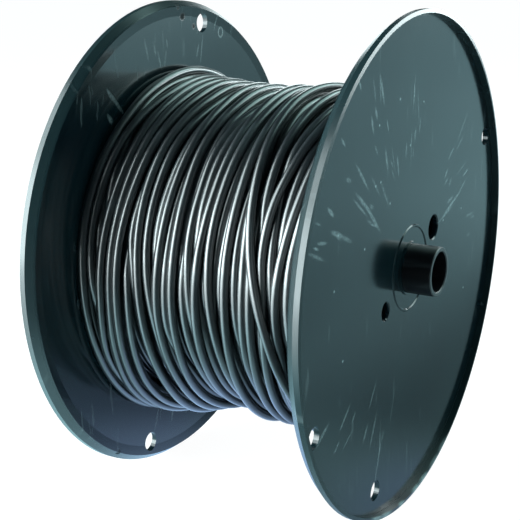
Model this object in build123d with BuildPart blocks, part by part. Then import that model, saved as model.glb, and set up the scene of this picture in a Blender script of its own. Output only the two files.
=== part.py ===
"""Plastic cable drum with a wound cable, lying on the rims of its two flanges.

Millimetres. The drum axis runs along X, the front flange is at +X and Z is up. The origin is on the
floor, midway between the flanges and straight below the axis.
"""
from build123d import *
from math import cos, radians, sin
import os

# Flanges
flange_diameter = 300.0
inner_width = 159.0
web_thickness = 3.2
lip_rise = 4.2
lip_width = 2.2
lip_crest_fall = 0.4
rim_face_width = 3.7
rim_taper_width = 4.7
rim_taper_depth = 3.6
bead_run_out = 6.0

# Holes near the rim, angles counted anticlockwise seen from outside that flange
rim_hole_diameter = 12.5
rim_hole_inset = 12.0
tie_hole_inset = 17.0
front_rim_hole_angles = (26.0, 206.0)
front_tie_hole_angle = 251.3
rear_rim_hole_angles = (102.6, 286.8)
rear_tie_hole_angle = 147.9

# Drive holes beside the hub
drive_circle_diameter = 78.0
drive_pin_hole_diameter = 15.0
stop_pin_hole_diameter = 10.4
front_drive_angle = 26.0
rear_drive_angle = 282.6
drive_hole_chamfer = 0.7

# Raised ring on the outer face, round the hub
ring_diameter = 50.6
ring_width = 1.8
ring_crown_width = 0.6
ring_rise = 0.6

# Hub tube and its seat in the flanges
tube_diameter = 29.5
tube_wall = 2.75
tube_overhang = 14.1
tube_edge_chamfer = 0.5
tube_seat_clearance = 0.1
seat_collar_width = 1.3
seat_collar_rise = 0.9
boss_wall = 4.0
boss_length = 14.0

# Barrel and the spigots it seats on
barrel_diameter = 110.0
barrel_wall = 3.0
spigot_clearance = 0.2
spigot_wall = 3.0
spigot_length = 8.0
barrel_end_clearance = 0.2

# Cable winding
cable_diameter = 5.2
winding_diameter = 203.0
winding_bore_clearance = 0.2
winding_end_clearance = 0.3
heap_layers = 1.6
heap_turns = 1
heap_shoulder_layers = 0.7
heap_shoulder_turns = 3.5
heap_foot_turns = 7.5

# Sizes worked out from the ones above
flange_radius = flange_diameter / 2
web_inner = inner_width / 2
web_outer = web_inner + web_thickness
lip_top = web_outer + lip_rise
lip_edge = lip_top - lip_crest_fall
taper_edge = lip_top - rim_face_width
taper_foot = taper_edge - rim_taper_width
taper_foot_radius = flange_radius - rim_taper_depth
lip_foot_radius = flange_radius - lip_width
rim_hole_radius = flange_radius - rim_hole_inset
tie_hole_radius = flange_radius - tie_hole_inset
hole_depth = web_outer - taper_foot
tube_radius = tube_diameter / 2
seat_radius = tube_radius + tube_seat_clearance
tube_end = lip_top + tube_overhang
barrel_radius = barrel_diameter / 2
barrel_bore = barrel_radius - barrel_wall
spigot_radius = barrel_bore - spigot_clearance
drum_axis = Axis((0, 0, flange_radius), (1, 0, 0))

os.makedirs("parts", exist_ok=True)


def profile_plane(side):
    """Plane of a turned profile: local x runs outward along the axis, local y is the radius."""
    return Plane(origin=(0, 0, flange_radius), x_dir=(side, 0, 0), z_dir=(0, -side, 0))


def face_plane(side, distance):
    """Plane across the axis, facing outward on that side, at a distance from the middle."""
    return Plane(origin=(side * distance, 0, flange_radius), x_dir=(0, side, 0), z_dir=(side, 0, 0))


def polar_point(radius, angle):
    """Point on a circle, angle in degrees."""
    return (radius * cos(radians(angle)), radius * sin(radians(angle)))


def build_flange(side, rim_angles, tie_angle, drive_angle):
    """One moulded flange: turned profile, then the holes through its web."""
    with BuildPart() as flange:
        # Web, lip with its sloping crest, and rim bead as one turned section
        with BuildSketch(profile_plane(side)):
            with BuildLine():
                Polyline(
                    (web_inner, seat_radius),
                    (web_outer, seat_radius),
                    (web_outer, lip_foot_radius),
                    (lip_top, lip_foot_radius),
                    (lip_edge, flange_radius),
                    (taper_edge, flange_radius),
                    (taper_foot, taper_foot_radius),
                    (web_inner, taper_foot_radius - bead_run_out),
                    close=True,
                )
            make_face()
        revolve(axis=drum_axis)

        # Spigot for the barrel and boss for the tube, on the inner face
        with BuildSketch(face_plane(side, web_inner)):
            Circle(spigot_radius)
            Circle(spigot_radius - spigot_wall, mode=Mode.SUBTRACT)
        extrude(amount=-spigot_length)
        with BuildSketch(face_plane(side, web_inner)):
            Circle(seat_radius + boss_wall)
            Circle(seat_radius, mode=Mode.SUBTRACT)
        extrude(amount=-boss_length)

        # Raised ring with sloping sides, and seat collar, on the outer face
        with BuildSketch(profile_plane(side)):
            with Locations((web_outer, ring_diameter / 2)):
                Polygon(
                    (0, -ring_width / 2),
                    (ring_rise, -ring_crown_width / 2),
                    (ring_rise, ring_crown_width / 2),
                    (0, ring_width / 2),
                    align=None,
                )
        revolve(axis=drum_axis)
        with BuildSketch(face_plane(side, web_outer)):
            Circle(seat_radius + seat_collar_width)
            Circle(seat_radius, mode=Mode.SUBTRACT)
        extrude(amount=seat_collar_rise)

        # Small holes near the rim
        rim_points = [polar_point(rim_hole_radius, angle) for angle in rim_angles]
        rim_points.append(polar_point(tie_hole_radius, tie_angle))
        with Locations(face_plane(side, web_outer)):
            with Locations(*rim_points):
                Hole(rim_hole_diameter / 2, depth=hole_depth)

        # Drive holes, the larger and the smaller one opposite each other, with broken edges
        with Locations(face_plane(side, web_outer)):
            for diameter, angle in (
                (drive_pin_hole_diameter, drive_angle),
                (stop_pin_hole_diameter, drive_angle + 180),
            ):
                with Locations(polar_point(drive_circle_diameter / 2, angle)):
                    CounterSinkHole(
                        radius=diameter / 2,
                        counter_sink_radius=diameter / 2 + drive_hole_chamfer,
                        depth=hole_depth,
                        counter_sink_angle=90,
                    )
    return flange


# Front flange
front_flange = build_flange(1, front_rim_hole_angles, front_tie_hole_angle, front_drive_angle)
front_flange.part.label = "front_flange"
export_step(front_flange.part, "parts/front_flange.step")

# Rear flange
rear_flange = build_flange(-1, rear_rim_hole_angles, rear_tie_hole_angle, rear_drive_angle)
rear_flange.part.label = "rear_flange"
export_step(rear_flange.part, "parts/rear_flange.step")

# Barrel that the cable is wound on, pushed over both spigots
with BuildPart() as barrel:
    with BuildSketch(face_plane(1, 0)):
        Circle(barrel_radius)
        Circle(barrel_bore, mode=Mode.SUBTRACT)
    extrude(amount=web_inner - barrel_end_clearance, both=True)
barrel.part.label = "barrel"
export_step(barrel.part, "parts/barrel.step")

# Hub tube, with broken edges at both mouths
with BuildPart() as hub_tube:
    with BuildSketch(face_plane(1, 0)):
        Circle(tube_radius)
        Circle(tube_radius - tube_wall, mode=Mode.SUBTRACT)
    extrude(amount=tube_end, both=True)
    mouths = hub_tube.faces().filter_by(Axis.X)
    chamfer(mouths.edges(), tube_edge_chamfer)
hub_tube.part.label = "hub_tube"
export_step(hub_tube.part, "parts/hub_tube.step")

# Cable winding: a turned solid with its bore, heaped up against the rear flange
winding_half = web_inner - winding_end_clearance
winding_bore = barrel_radius + winding_bore_clearance
winding_radius = winding_diameter / 2
heap_radius = winding_radius + heap_layers * cable_diameter
heap_edge = heap_turns * cable_diameter - winding_half
shoulder_radius = winding_radius + heap_shoulder_layers * cable_diameter
shoulder_edge = heap_shoulder_turns * cable_diameter - winding_half
heap_foot = heap_foot_turns * cable_diameter - winding_half
with BuildPart() as cable_winding:
    with BuildSketch(profile_plane(1)):
        with BuildLine():
            Polyline(
                (-winding_half, winding_bore),
                (-winding_half, heap_radius),
                (heap_edge, heap_radius),
                (shoulder_edge, shoulder_radius),
                (heap_foot, winding_radius),
                (winding_half, winding_radius),
                (winding_half, winding_bore),
                close=True,
            )
        make_face()
    revolve(axis=drum_axis)
cable_winding.part.label = "cable_winding"
export_step(cable_winding.part, "parts/cable_winding.step")
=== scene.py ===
"""Plastic cable drum wound with black cable, lying on the rims of its flanges, in metres."""
import math

import bpy
import numpy as np
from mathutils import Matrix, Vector


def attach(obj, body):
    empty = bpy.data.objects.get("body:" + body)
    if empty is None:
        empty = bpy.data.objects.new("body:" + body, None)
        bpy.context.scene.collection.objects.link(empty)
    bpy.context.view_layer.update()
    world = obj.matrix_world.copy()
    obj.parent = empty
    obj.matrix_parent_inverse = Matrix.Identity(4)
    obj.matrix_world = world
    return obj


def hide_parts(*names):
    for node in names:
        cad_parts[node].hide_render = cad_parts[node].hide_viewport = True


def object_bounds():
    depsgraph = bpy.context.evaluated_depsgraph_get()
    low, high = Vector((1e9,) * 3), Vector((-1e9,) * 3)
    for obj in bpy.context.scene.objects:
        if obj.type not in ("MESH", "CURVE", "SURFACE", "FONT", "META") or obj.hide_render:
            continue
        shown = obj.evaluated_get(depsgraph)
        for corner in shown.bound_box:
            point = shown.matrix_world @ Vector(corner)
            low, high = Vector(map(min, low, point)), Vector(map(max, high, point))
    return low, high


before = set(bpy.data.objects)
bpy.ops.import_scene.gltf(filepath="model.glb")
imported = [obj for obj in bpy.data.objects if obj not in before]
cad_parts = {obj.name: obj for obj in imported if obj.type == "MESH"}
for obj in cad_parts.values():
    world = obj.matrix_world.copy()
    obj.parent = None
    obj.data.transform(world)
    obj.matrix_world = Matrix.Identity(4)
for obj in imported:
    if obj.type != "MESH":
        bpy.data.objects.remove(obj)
cad_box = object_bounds()

# Flanges
# Two mouldings in black polystyrene, semi-gloss from the polished mould, with a lip round the rim.
# They keep the shape of the CAD nodes. Handling has left faint scuffs and pale specks on them. The rim
# band's paler, bluer tint is a painted sheen, and the pale strips on the lip's crest are painted
# highlights.
axis_height = 0.150
flange_teal = (0.0034, 0.0098, 0.0120, 1)
flange_dark = (0.0016, 0.0055, 0.0078, 1)
# Paler, bluer tint of the rim band: a painted sheen for the light the rim catches, not wear.
rim_sheen_tint = (0.0060, 0.0150, 0.0170, 1)
# The pale of dust and scuffs, and also of the painted highlights on the lip's crest.
dust_and_glint_pale = (0.3000, 0.3800, 0.3850, 1)


class Wire:
    """A socket in a node tree. Sums on it add Math nodes, and node() adds a node of any other kind."""

    def __init__(self, tree, socket=None):
        self.tree = tree
        self.socket = socket

    def node(self, kind, settings=None, values=None, output=0):
        """Adds a node, with its settings first and then the values or links of its sockets."""
        made = self.tree.nodes.new("ShaderNode" + kind)
        for name, value in (settings or {}).items():
            setattr(made, name, value)
        for place, value in (values or {}).items():
            if isinstance(value, Wire):
                self.tree.links.new(value.socket, made.inputs[place])
            else:
                made.inputs[place].default_value = value
        return Wire(self.tree, made.outputs[output] if made.outputs else None)

    def math(self, operation, *terms):
        return self.node("Math", {"operation": operation}, dict(enumerate(terms)))

    def __add__(self, other):
        return self.math("ADD", self, other)

    def __radd__(self, other):
        return self.math("ADD", other, self)

    def __sub__(self, other):
        return self.math("SUBTRACT", self, other)

    def __rsub__(self, other):
        return self.math("SUBTRACT", other, self)

    def __mul__(self, other):
        return self.math("MULTIPLY", self, other)

    def __rmul__(self, other):
        return self.math("MULTIPLY", other, self)

    def __pow__(self, other):
        return self.math("POWER", self, other)

    def least(self, other):
        return self.math("MINIMUM", self, other)

    def most(self, other):
        return self.math("MAXIMUM", self, other)

    def ramp(self, low, high):
        """0 below low, 1 above high, and a smooth rise between them."""
        settings = {"interpolation_type": "SMOOTHSTEP"}
        return self.node("MapRange", settings, {0: self, 1: low, 2: high})

    def tint(self, below, above):
        """The colour below where this is 0, and above where it is 1."""
        settings = {"data_type": "RGBA"}
        return self.node("Mix", settings, {0: self, 6: below, 7: above}, output=2)


def new_tree(name):
    """An empty material, a wire to start its nodes from, and the place on the piece."""
    material = bpy.data.materials.new(name)
    material.use_nodes = True
    material.node_tree.nodes.clear()
    tree = Wire(material.node_tree)
    return material, tree, tree.node("TexCoord", None, None, output=3)


def close_tree(tree, values):
    """The Principled shader and the output of a material."""
    shader = tree.node("BsdfPrincipled", None, values)
    tree.node("OutputMaterial", None, {0: shader})


# Scuffs fan out from the hub, where drums rub against each other. Each row is one fan: its first and
# last angle, its nearest and farthest reach from the hub in millimetres, how many scuffs there are in
# it, and how pale they are.
front_plane = 0.0827
front_fans = (
    (85, 100, 50, 125, 9, 0.30), (105, 125, 62, 140, 14, 0.42), (127, 146, 62, 135, 11, 0.42),
    (150, 166, 98, 135, 8, 0.50), (20, 46, 50, 115, 13, 0.42), (-8, 8, 90, 125, 3, 0.35),
    (208, 225, 95, 140, 5, 0.34), (230, 256, 80, 120, 7, 0.30),
)
front_specks = 14
rear_plane = -0.0795
rear_fans = (
    (92, 106, 115, 135, 5, 0.30), (124, 136, 105, 125, 4, 0.22), (62, 80, 118, 145, 4, 0.45),
    (236, 274, 112, 132, 5, 0.35),
)
scuff_shortest = 7
scuff_spread = 24
scuff_sway = 8
scuff_widths = (0.8, 2.2)
scuff_unevenness = (0.6, 1.4)
speck_reaches = (50, 120)
speck_size = (2.2, 1.2)
speck_strength = 0.9
# Dark pits left by the mould in the rear flange, and a low round mark beside its hole at the top. Each
# row has the place across and up from the hub, the slope, the length and width, and the strength.
rear_pits = (
    (1, 146, 0, 5.5, 3.4, 1.0), (7, 140, 0, 7.0, 4.0, 1.0), (20, 133, 0, 4.6, 3.0, 0.8),
    (-76, -125, 0, 6.0, 4.0, 1.0),
)
rear_rings = ((53, 127, 0, 6.4, 5.0, 1.0),)
# Painted highlights on the crest of the front flange's lip, low on the right, where the lip catches the
# light. Each row has the angle, the length and how pale the painted highlight is.
crest_plane = 0.0867
crest_reach = 148
glint_width = 4.6
crest_glints = (
    (-67, 17, 0.50), (-73, 17, 0.60), (-80, 14, 1.0), (-85, 14, 1.0), (-94, 10, 1.0), (-103, 17, 0.80),
    (-109, 17, 0.65),
)
# A mark is strong in its middle and fades towards its ends. The fades turn its length and width in
# millimetres into the radii, in metres, at which it is gone. It reaches mark_depth off its plane.
length_fade = 1600
width_fade = 1050
mark_depth = 0.0020
draws = np.random.default_rng(8)


def mark_at(angle, reach, slope, length, width, strength):
    """A row for one mark: across and up from the hub, slope, length, width, and how pale it is."""
    turn = math.radians(angle)
    return (reach * math.cos(turn), reach * math.sin(turn), slope, length, width, strength)


def fanned(fans):
    """Rows for the scuffs of a few fans, each scuff near to radial."""
    rows = []
    for first, last, nearest, farthest, scuffs, strength in fans:
        for scuff in range(scuffs):
            angle = draws.uniform(first, last)
            slope = angle + draws.normal(0, scuff_sway)
            length = scuff_shortest + scuff_spread * draws.random() ** 2
            width = draws.uniform(*scuff_widths)
            pale = strength * draws.uniform(*scuff_unevenness)
            reach = draws.uniform(nearest, farthest)
            rows.append(mark_at(angle, reach, slope, length, width, pale))
    return rows


front_marks = fanned(front_fans)
rear_marks = fanned(rear_fans)
for speck in range(front_specks):
    angle = draws.uniform(0, 360)
    reach = draws.uniform(*speck_reaches)
    front_marks.append(mark_at(angle, reach, 0, *speck_size, speck_strength))
# Strips of painted highlight along the lip's crest.
crest_glint_marks = [
    mark_at(angle, crest_reach, angle + 90, length, glint_width, pale)
    for angle, length, pale in crest_glints
]


def marks_on(place, plane, rows):
    """How strongly a point is marked by any of the marks on one plane."""
    marked = 0.0
    for across, up, slope, length, width, strength in rows:
        spot = place.node("TexGradient", {"gradient_type": "SPHERICAL"}, {"Vector": place}, output=1)
        lay = spot.socket.node.texture_mapping
        lay.vector_type = "TEXTURE"
        lay.translation = (plane, across / 1000, axis_height + up / 1000)
        lay.rotation = (math.radians(slope), 0, 0)
        lay.scale = (mark_depth, length / length_fade, width / width_fade)
        marked = spot.ramp(0.0, 0.8) * strength + marked
    return marked.least(1.0)


def moulded_flange():
    material, tree, place = new_tree("moulded_flange")
    mottle = tree.node("TexNoise", None, {"Vector": place, "Scale": 14.0, "Detail": 3.0})
    grain = tree.node("TexNoise", None, {"Vector": place, "Scale": 420.0, "Detail": 2.0})
    slanted = {"Vector": place, "Rotation": (0.62, 0, 0), "Scale": (60.0, 260.0, 34.0)}
    streaks = tree.node("TexNoise", None, {"Vector": tree.node("Mapping", None, slanted), "Scale": 1.0})
    patches = tree.node("TexNoise", None, {"Vector": place, "Scale": 22.0, "Detail": 1.0})
    faint = streaks.ramp(0.60, 0.72) * patches.ramp(0.50, 0.62)
    breaks = tree.node("TexNoise", None, {"Vector": place, "Scale": 700.0, "Detail": 1.0})
    broken = breaks.ramp(0.36, 0.58)
    scuffs = marks_on(place, front_plane, front_marks) + marks_on(place, rear_plane, rear_marks)
    # The crest strips added in here are painted highlights, not scuffs.
    scuffs = scuffs * (0.35 + broken * 0.38) + marks_on(place, crest_plane, crest_glint_marks)
    pits = marks_on(place, rear_plane, rear_pits)
    ringed = marks_on(place, rear_plane, rear_rings)
    scuffs = scuffs + ringed.ramp(0.02, 0.30) * (1 - ringed.ramp(0.45, 0.80)) * 0.4
    # The pale marks hold real scuffs, specks and a ring mark, and the painted highlights on the crest.
    marks = (scuffs + faint * 0.10).least(1.0)
    from_hub = tree.node("Mapping", None, {
        "Vector": place,
        "Location": (0, 0, -axis_height),
        "Scale": (0, 1, 1),
    })
    radius = tree.node("VectorMath", {"operation": "LENGTH"}, {0: from_hub}, output=1)
    # Beyond 145.5 mm from the hub the rim band takes the paler, bluer tint, a painted sheen, and a
    # rougher finish.
    paler_zone = radius.ramp(0.1455, 0.1475)
    base = paler_zone.tint(mottle.ramp(0.35, 0.65).tint(flange_dark, flange_teal), rim_sheen_tint)
    height = mottle * 0.6 + grain * 0.05 + marks * 0.1 - pits * 0.5
    bump = tree.node("Bump", None, {"Strength": 0.12, "Distance": 0.0006, "Height": height})
    close_tree(tree, {
        "Base Color": pits.tint(marks.tint(base, dust_and_glint_pale), flange_dark),
        "Roughness": (0.11 + mottle * 0.07 + marks * 0.25 + paler_zone * 0.13).most(pits * 0.9),
        "IOR": 1.5,
        "Normal": bump,
    })
    return material


def dress(node, material):
    """Gives a CAD node its finish."""
    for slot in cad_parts[node].material_slots:
        slot.material = material


flange_finish = moulded_flange()
dress("front_flange", flange_finish)
dress("rear_flange", flange_finish)

# Barrel
# A plain extruded tube between the flanges, hidden under the cable. It stays as the CAD made it.
barrel_grey = (0.030, 0.035, 0.037, 1)
barrel_pale = (0.045, 0.052, 0.054, 1)


def extruded_barrel():
    material, tree, place = new_tree("extruded_barrel")
    lines = tree.node("TexNoise", None, {
        "Vector": tree.node("Mapping", None, {"Vector": place, "Scale": (4.0, 300.0, 300.0)}),
        "Scale": 1.0,
    })
    close_tree(tree, {
        "Base Color": lines.ramp(0.3, 0.7).tint(barrel_grey, barrel_pale),
        "Roughness": 0.45 + lines * 0.15,
    })
    return material


dress("barrel", extruded_barrel())

# Hub tube
# A cut length of black plastic pipe, pushed through both flanges. Its skin is dull, and its sawn ends
# are paler.
tube_black = (0.0025, 0.0022, 0.0040, 1)
tube_worn = (0.0350, 0.0400, 0.0420, 1)
tube_end = cad_box[1][0]


def pipe():
    material, tree, place = new_tree("pipe")
    grain = tree.node("TexNoise", None, {"Vector": place, "Scale": 600.0, "Detail": 3.0})
    rubs = tree.node("TexNoise", None, {
        "Vector": tree.node("Mapping", None, {"Vector": place, "Scale": (24.0, 130.0, 130.0)}),
        "Scale": 1.0,
    })
    along = tree.node("SeparateXYZ", None, {0: place})
    sawn = tree.math("ABSOLUTE", along).ramp(tube_end - 0.0007, tube_end - 0.0003)
    paler_zone = (rubs.ramp(0.55, 0.7) * 0.35).most(sawn * 0.8)
    bump = tree.node("Bump", None, {"Strength": 0.25, "Distance": 0.0002, "Height": grain + rubs * 0.4})
    close_tree(tree, {
        "Base Color": paler_zone.tint(tube_black, tube_worn),
        "Roughness": 0.30 + rubs * 0.10,
        "Normal": bump,
    })
    return material


dress("hub_tube", pipe())

# Cable
# One length of black single-core cable, wound on in layers by machine but not laid side by side.
# Each turn lies where those under it let it, and the turns wander, bunch, part and cross.
cable_diameter = 0.0052
winding_half = 0.0792
edge = winding_half - cable_diameter / 2
jacket_black = (0.0018, 0.0044, 0.0062, 1)
jacket_dust = (0.0060, 0.0115, 0.0135, 1)
rng = np.random.default_rng(17)


def smooth(values, width):
    """A closed run of values, blurred over a width given in stations."""
    frequency = np.fft.rfftfreq(len(values))
    kept = np.exp(-2 * (math.pi * width * frequency) ** 2)
    return np.fft.irfft(np.fft.rfft(values) * kept, len(values))


def smooth_run(values, width):
    """An open run of values, blurred in the same way."""
    return smooth(np.concatenate([values, values[::-1]]), width)[:len(values)]


def wander(count, width):
    """Smooth random values with a spread of one."""
    values = smooth(rng.standard_normal(count), width)
    return values / values.std()


def points_of(places, radii, stations):
    """Points along a run of turns. Angles start at the back, and go down, forward and up."""
    angles = math.pi + np.arange(len(places)) * 2 * math.pi / stations
    return np.stack([places, -radii * np.cos(angles), axis_height + radii * np.sin(angles)], axis=-1)


def tube_mesh(name, path, sides):
    """A round cable along a path of points, with closed ends."""
    along = np.gradient(path, axis=0)
    along /= np.linalg.norm(along, axis=1)[:, None]
    outward = path - np.array([0, 0, axis_height])
    outward[:, 0] = 0
    outward -= (outward * along).sum(axis=1)[:, None] * along
    outward /= np.linalg.norm(outward, axis=1)[:, None]
    across = np.cross(along, outward)
    turn = (np.arange(sides) * 2 * math.pi / sides)[None, :, None]
    spokes = np.cos(turn) * outward[:, None] + np.sin(turn) * across[:, None]
    rings = path[:, None] + cable_diameter / 2 * spokes
    ring, side = np.meshgrid(np.arange(len(path) - 1), np.arange(sides), indexing="ij")
    following = (side + 1) % sides
    quads = np.stack([
        ring * sides + side,
        ring * sides + following,
        (ring + 1) * sides + following,
        (ring + 1) * sides + side,
    ], axis=-1).reshape(-1, 4).tolist()
    quads.append(list(range(sides))[::-1])
    quads.append([(len(path) - 1) * sides + index for index in range(sides)])
    mesh = bpy.data.meshes.new(name)
    mesh.from_pydata(rings.reshape(-1, 3).tolist(), [], quads)
    mesh.update()
    mesh.shade_smooth()
    return mesh


# The plain layers under the outer turns drift to and fro, but not within this distance of a flange.
held_band = 0.012
drift_size = 0.0016
waver_across = 0.0005
waver_up = 0.0006


def under_layer(turns, way, radius, stations):
    """Places and radii of one layer of turns, evenly wound but for a slow drift."""
    share = np.arange(turns * stations) / (turns * stations)
    home = (2 * share - 1) * edge
    loose = np.clip((edge - np.abs(home)) / held_band, 0, 1)
    drift = np.sin(2 * math.pi * turns * share + wander(turns * stations, 260.0))
    waver = waver_across * wander(turns * stations, 9.0)
    places = way * home + loose * (drift_size * drift + waver)
    radii = radius + waver_up * wander(turns * stations, 7.0)
    return places.reshape(turns, stations), radii.reshape(turns, stations)


# Places of the outer turns along the axis, in millimetres from the middle, at these angles up from
# the level of the axis on the side in front. A turn with a higher last number lies over its neighbours.
lay_angles = (-45, -15, 0, 15, 30, 50, 75)
outer_lay = (
    (-76.6, -76.6, -76.6, -76.6, -76.6, -76.6, -76.6, 1),
    (-75.5, -76.4, -76.5, -76.4, -75.8, -73.6, -71.2, 6),
    (-70.0, -66.0, -68.0, -71.0, -73.3, -75.5, -76.0, 0),
    (-69.0, -69.8, -72.6, -74.6, -72.7, -68.9, -61.2, 3),
    (-60.0, -62.0, -64.0, -65.9, -68.0, -71.5, -73.0, 0),
    (-74.5, -68.2, -66.7, -64.4, -62.3, -60.3, -56.5, 4),
    (-68.4, -62.7, -60.8, -58.9, -57.0, -55.3, -50.5, 4),
    (-64.0, -60.0, -59.0, -57.0, -54.7, -53.0, -50.0, 1),
    (-62.3, -58.5, -57.4, -55.5, -52.5, -49.6, -42.6, 5),
    (-56.3, -52.5, -51.2, -51.5, -50.5, -48.0, -45.5, 1),
    (-42.0, -43.8, -47.6, -49.6, -47.6, -46.0, -42.0, 2),
    (-39.6, -42.3, -43.4, -44.5, -44.7, -42.8, -34.7, 4),
    (-33.5, -35.1, -38.1, -39.2, -39.0, -38.0, -33.0, 2),
    (-30.0, -31.0, -32.2, -33.2, -31.7, -29.5, -26.0, 2),
    (-30.1, -31.8, -30.5, -28.2, -27.1, -25.2, -23.3, 4),
    (-21.0, -27.7, -26.2, -25.2, -24.8, -23.5, -17.0, 3),
    (-23.0, -22.0, -21.0, -19.3, -19.0, -19.3, -13.8, 4),
    (-13.5, -15.2, -15.4, -13.7, -14.0, -14.0, -10.0, 1),
    (-6.0, -9.0, -11.0, -11.6, -10.1, -10.8, -0.4, 2),
    (-2.5, -4.0, -5.0, -6.2, -7.0, -6.0, 1.5, 2),
    (-6.5, -5.9, -4.6, -2.9, -0.2, 2.0, 4.3, 5),
    (6.0, 0.6, 0.0, 1.7, 2.5, 3.0, 6.0, 1),
    (10.0, 5.8, 3.8, 3.6, 4.5, 4.9, 9.0, 4),
    (7.5, 2.4, 4.5, 6.5, 8.0, 9.0, 11.0, 2),
    (14.0, 11.7, 9.8, 10.6, 12.3, 13.4, 13.0, 1),
    (12.3, 13.8, 14.0, 14.9, 15.7, 15.3, 16.1, 5),
    (27.0, 19.9, 19.3, 19.5, 20.0, 20.0, 18.5, 1),
    (24.0, 25.0, 26.3, 26.1, 24.4, 21.4, 19.5, 3),
    (27.5, 24.9, 27.0, 29.5, 31.0, 27.0, 25.0, 1),
    (26.1, 28.7, 29.5, 30.0, 29.6, 29.6, 31.0, 3),
    (31.5, 34.8, 35.2, 33.5, 31.7, 31.6, 34.0, 3),
    (33.7, 37.8, 37.5, 35.9, 37.6, 43.8, 52.0, 4),
    (40.8, 43.0, 42.9, 41.5, 38.9, 37.4, 45.0, 2),
    (54.5, 43.1, 36.5, 30.5, 26.1, 22.6, 22.1, 9),
    (50.0, 50.0, 48.0, 46.3, 46.5, 48.0, 54.0, 1),
    (45.0, 46.5, 45.4, 48.8, 52.2, 56.0, 59.0, 4),
    (52.5, 52.0, 51.0, 51.0, 50.5, 51.8, 55.0, 1),
    (60.0, 55.2, 53.0, 54.1, 57.5, 60.0, 63.0, 3),
    (61.0, 62.0, 61.0, 60.0, 61.0, 64.0, 67.0, 2),
    (66.0, 66.0, 66.0, 66.0, 67.0, 69.0, 71.0, 4),
    (70.5, 71.0, 71.0, 71.0, 71.5, 72.0, 73.0, 2),
    (76.0, 76.3, 76.5, 76.5, 76.5, 76.6, 76.6, 5),
)
outer_stations = 144
outer_sides = 12
hidden_spread = 0.0016

# Round the back and underneath, each turn passes over to the place where the next one starts.
measured = np.array([row[:7] for row in outer_lay]) / 1000
rank = np.array([row[7] for row in outer_lay])
count = len(outer_lay)
seams = measured.mean(axis=1)
seams = np.concatenate([[-edge], (seams[1:] + seams[:-1]) / 2, [edge]])
station_angles = -180 + np.arange(count * outer_stations) * 360 / outer_stations
chart_angles = []
chart_places = []
rank_angles = []
for index, row in enumerate(measured):
    start = 360 * index
    chart_angles += [start - 180, start - 105, *(start + angle for angle in lay_angles), start + 125]
    low = (row[0] + seams[index]) / 2 + hidden_spread * rng.standard_normal()
    high = (row[-1] + seams[index + 1]) / 2 + hidden_spread * rng.standard_normal()
    chart_places += [seams[index], low, *row, high]
    rank_angles += [start - 105, start + 125]
chart_angles.append(360 * count - 180)
chart_places.append(seams[-1])
home = smooth_run(np.interp(station_angles, chart_angles, chart_places), 2.0)
home = np.clip(home, -edge, edge).reshape(count, outer_stations)
rank = np.interp(station_angles, rank_angles, np.repeat(rank, 2)).reshape(count, outer_stations)

# Outer skin of the winding at the top and underneath, where it is heaped up against the rear flange.
skin_places = (-0.079, -0.071, -0.061, -0.049, -0.035, -0.015, -0.005, 0.003, 0.010, 0.079)
skin_top = (0.1095, 0.1080, 0.1050, 0.1030, 0.1018, 0.1015, 0.1018, 0.1018, 0.1018, 0.1030)
skin_under = (0.1125, 0.1130, 0.1130, 0.1130, 0.1080, 0.1015, 0.1000, 0.1030, 0.1045, 0.1050)
underneath = np.clip(-1.15 * np.sin(np.radians(station_angles[:outer_stations])), 0, 1) ** 2
skin = np.interp(home, skin_places, skin_top) * (1 - underneath)
skin += np.interp(home, skin_places, skin_under) * underneath
lift = np.interp(rank, (0, 2, 3, 5, 9), (-0.0030, -0.0015, -0.0003, 0.0004, 0.0032))
target = skin - cable_diameter / 2 + lift

# Each sweep pushes turns that overlap apart, the upper one outwards a little and the lower one inwards
# more, and draws every turn back towards its own place. Of two turns of one rank the later is upper.
sweeps = 110
least_step = 0.9 * cable_diameter
upper_push = 0.06
lower_push = -0.35
side_push = 0.18
side_return = 0.12
height_return = 0.03
cable_stiffness = 0.45
least_radius = 0.0925
order = rank + 0.001 * np.arange(count)[:, None]
over = np.sign(order[:, None] - order[None, :])
push_share = np.where(over > 0, upper_push, lower_push)
places = home
radii = target
for sweep in range(sweeps):
    gap = places[:, None, :] - places[None, :, :]
    step = (radii[:, None, :] - radii[None, :, :]) * over
    close = np.clip(1 - np.abs(gap) / cable_diameter, 0, 1)
    step = np.maximum(step, least_step * close)
    apart = np.sqrt(gap ** 2 + step ** 2) + 1e-9
    push = np.maximum(cable_diameter - apart, 0) / apart * (over != 0)
    places = places + side_push * (push * gap).sum(axis=1) + side_return * (home - places)
    radii = radii + (push * step * push_share).sum(axis=1) + height_return * (target - radii)
    places = smooth_run(places.ravel(), cable_stiffness).reshape(count, outer_stations)
    radii = smooth_run(radii.ravel(), cable_stiffness).reshape(count, outer_stations)
    places = np.clip(places, -edge, edge)
    radii = np.maximum(radii, least_radius)

# The plain layers, from the inside out: name, how many turns, the way they are wound, and the radius.
under_layers = (
    ("under_turns_1", 28, -1, 0.0880),
    ("under_turns_2", 27, 1, 0.0928),
)
under_stations = 96
under_sides = 8
runs = [("outer_turns", places, radii, outer_stations, outer_sides)]
for name, turns, way, radius in under_layers:
    under_places, under_radii = under_layer(turns, way, radius, under_stations)
    runs.append((name, under_places, under_radii, under_stations, under_sides))


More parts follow.
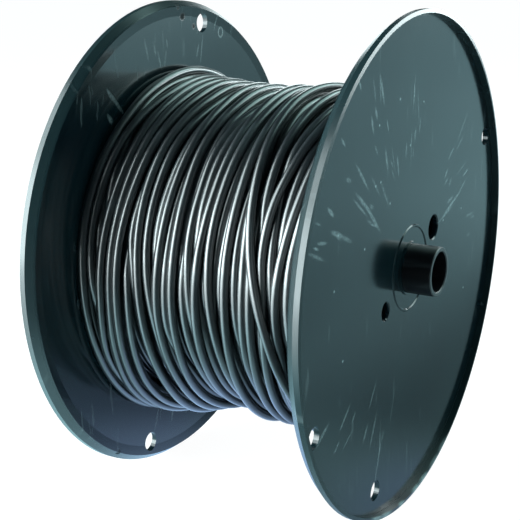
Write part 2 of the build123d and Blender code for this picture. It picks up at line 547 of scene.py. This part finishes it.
def cable_jacket():
    material, tree, place = new_tree("cable_jacket")
    grain = tree.node("TexNoise", None, {"Vector": place, "Scale": 900.0, "Detail": 2.0})
    film = tree.node("TexNoise", None, {"Vector": place, "Scale": 60.0, "Detail": 3.0})
    bump = tree.node("Bump", None, {"Strength": 0.15, "Distance": 0.0001, "Height": grain})
    close_tree(tree, {
        "Base Color": film.ramp(0.45, 0.75).tint(jacket_black, jacket_dust),
        "Roughness": 0.34 + film * 0.10,
        "IOR": 1.65,
        "Coat Weight": 0.9,
        "Coat Roughness": 0.15,
        "Normal": bump,
    })
    return material


jacket_finish = cable_jacket()
for name, run_places, run_radii, stations, sides in runs:
    mesh = tube_mesh(name, points_of(run_places.ravel(), run_radii.ravel(), stations), sides)
    wound = bpy.data.objects.new(name, mesh)
    bpy.context.scene.collection.objects.link(wound)
    mesh.materials.append(jacket_finish)
    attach(wound, "root")
    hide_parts("cable_winding")

# Floor
# A pale sheet that the drum stands on. It shows white to the camera and keeps the drum's shadow. To
# gloss rays it glows with a painted reflection: brighter towards the lamps, with a painted shadow of
# the drum close behind it, dark in front at the right, and bluer close under the drum.
floor_size = 40.0
floor_level = 1.12
sheet_grey = (0.80, 0.84, 0.86, 1)
glow_near = (0.52, 0.80, 1.25, 1)
glow_far = (0.53, 0.93, 1.02, 1)
glow_at_lamps = (0.84, 0.98, 1.0, 1)
white = (1, 1, 1, 1)


def ray_kinds(tree):
    """Whether a ray comes from the camera, from a gloss, or through something clear."""
    return [tree.node("LightPath", None, None, output=kind) for kind in (0, 3, 6)]


bpy.ops.object.select_all(action="DESELECT")
bpy.ops.mesh.primitive_plane_add(size=floor_size, location=(0, 0, 0))
floor = bpy.context.object
floor.name = "floor"
material, tree, place = new_tree("floor_sheet")
across = tree.node("SeparateXYZ", None, {0: place})
back = tree.node("SeparateXYZ", None, {0: place}, output=1)
camera_ray, glossy_ray, through_ray = ray_kinds(tree)
sheet = tree.node("BsdfDiffuse", None, {"Color": sheet_grey})
reach = (across * across + back * back) ** 0.5
to_lamp = 0 - across - back
# A painted shadow of the drum on the floor close behind it, seen only in gloss.
painted_drum_shadow = back.ramp(0.0, 0.14) * (1 - across.ramp(0.13, 0.26)) * (1 - back.ramp(0.5, 0.9))
front_right = across.ramp(-0.08, 0.06) * (1 - back.ramp(-0.25, -0.05))
# The glow seen in gloss is painted light, brighter towards the lamps.
mirrored = 0.55 + reach.ramp(0.45, 0.95) * 0.30 + to_lamp.ramp(-0.05, 0.12) * 1.2
mirrored = mirrored + to_lamp.ramp(0.15, 0.40) * 2.6 + to_lamp.ramp(0.35, 1.2) * 3.8
mirrored = mirrored + (across - back * 0.49).ramp(0.05, 0.45) * reach.ramp(1.3, 2.2) * 0.8
mirrored = mirrored * (1 - painted_drum_shadow * 0.6) * (1 - front_right * 0.97)
# Bluer close under the drum: a painted reflection colour.
floor_tint = reach.ramp(0.05, 0.16).tint(glow_near, glow_far)
floor_tint = to_lamp.ramp(0.25, 0.65).tint(floor_tint, glow_at_lamps)
glow = tree.node("Emission", None, {
    "Color": camera_ray.tint(floor_tint, white),
    "Strength": floor_level + glossy_ray * (mirrored - floor_level),
})
seen = (camera_ray + through_ray) * 0.85 + glossy_ray * 0.97
tree.node("OutputMaterial", None, {0: tree.node("MixShader", None, {0: seen, 1: sheet, 2: glow})})
floor.data.materials.append(material)

# Lights
# Softboxes at the left, brightest in front and low down, and weaker ones behind, above and at the
# right. Each row has the place, the width and height, the power, and the colour.
cold = (0.84, 0.98, 1.0)
teal = (0.60, 1.0, 0.96)
lamps = (
    ("left_softbox", (-0.98, -0.95, 0.80), (1.50, 1.70), 58.0, cold),
    ("low_softbox", (-0.82, -0.94, 0.42), (1.50, 0.75), 35.0, cold),
    ("back_softbox", (-0.60, 1.12, 0.52), (0.34, 0.45), 1.5, cold),
    ("right_softbox", (0.62, 0.90, 1.20), (1.20, 1.00), 9.5, teal),
    ("ring_softbox", (0.76, 1.08, 0.86), (1.10, 0.45), 4.7, cold),
    ("side_softbox", (-1.25, -0.30, 0.45), (0.90, 0.80), 11.0, cold),
    ("back_strip", (1.03, 1.94, 0.43), (1.40, 0.30), 15.0, cold),
)
for name, spot, size, power, colour in lamps:
    bpy.ops.object.light_add(type="AREA", location=spot)
    lamp = bpy.context.object
    lamp.name = name
    lamp.data.shape = "RECTANGLE"
    lamp.data.size, lamp.data.size_y = size
    lamp.data.energy = power
    lamp.data.color = colour
    beam = Vector((0, 0, axis_height)) - Vector(spot)
    lamp.rotation_euler = beam.to_track_quat("-Z", "Y").to_euler()

# The room is white to the camera. In the gloss of the drum it is dark overhead, in front and at the
# left.
room_teal = (0.62, 0.94, 1.0, 1)
world = bpy.data.worlds.new("room")
bpy.context.scene.world = world
world.use_nodes = True
world.node_tree.nodes.clear()
tree = Wire(world.node_tree)
way = tree.node("TexCoord", None, None, output=0)
way_back = tree.node("SeparateXYZ", None, {0: way}, output=1)
way_up = tree.node("SeparateXYZ", None, {0: way}, output=2)
way_left = 0 - tree.node("SeparateXYZ", None, {0: way})
dark = way_up.ramp(0.35, 0.60).most(1 - way_back.ramp(-0.35, 0.25))
dark = dark.most(way_left.ramp(0.05, 0.40) * 0.85)
camera_ray, glossy_ray, through_ray = ray_kinds(tree)
level = 0.40 + 0.65 * (camera_ray + through_ray) - 0.15 * glossy_ray
level = level * (1 - dark * glossy_ray * 0.92)
room_tint = camera_ray.tint(room_teal, white)
room = tree.node("Background", None, {"Color": room_tint, "Strength": level})
tree.node("OutputWorld", None, {0: room})

# Camera
# At the photograph's angle: from the front right and a little above, through a long lens.
bpy.ops.object.camera_add(location=(0.33034, -0.61833, 0.34078))
camera = bpy.context.object
camera.name = "camera"
aim = Vector((-0.01935, 0, 0.1407))
camera.rotation_euler = (aim - camera.location).to_track_quat("-Z", "Y").to_euler()
camera.data.lens = 80.5
camera.data.sensor_width = 36.0
camera.data.clip_start = 0.01
bpy.context.scene.camera = camera
bpy.context.scene.view_settings.view_transform = "Standard"
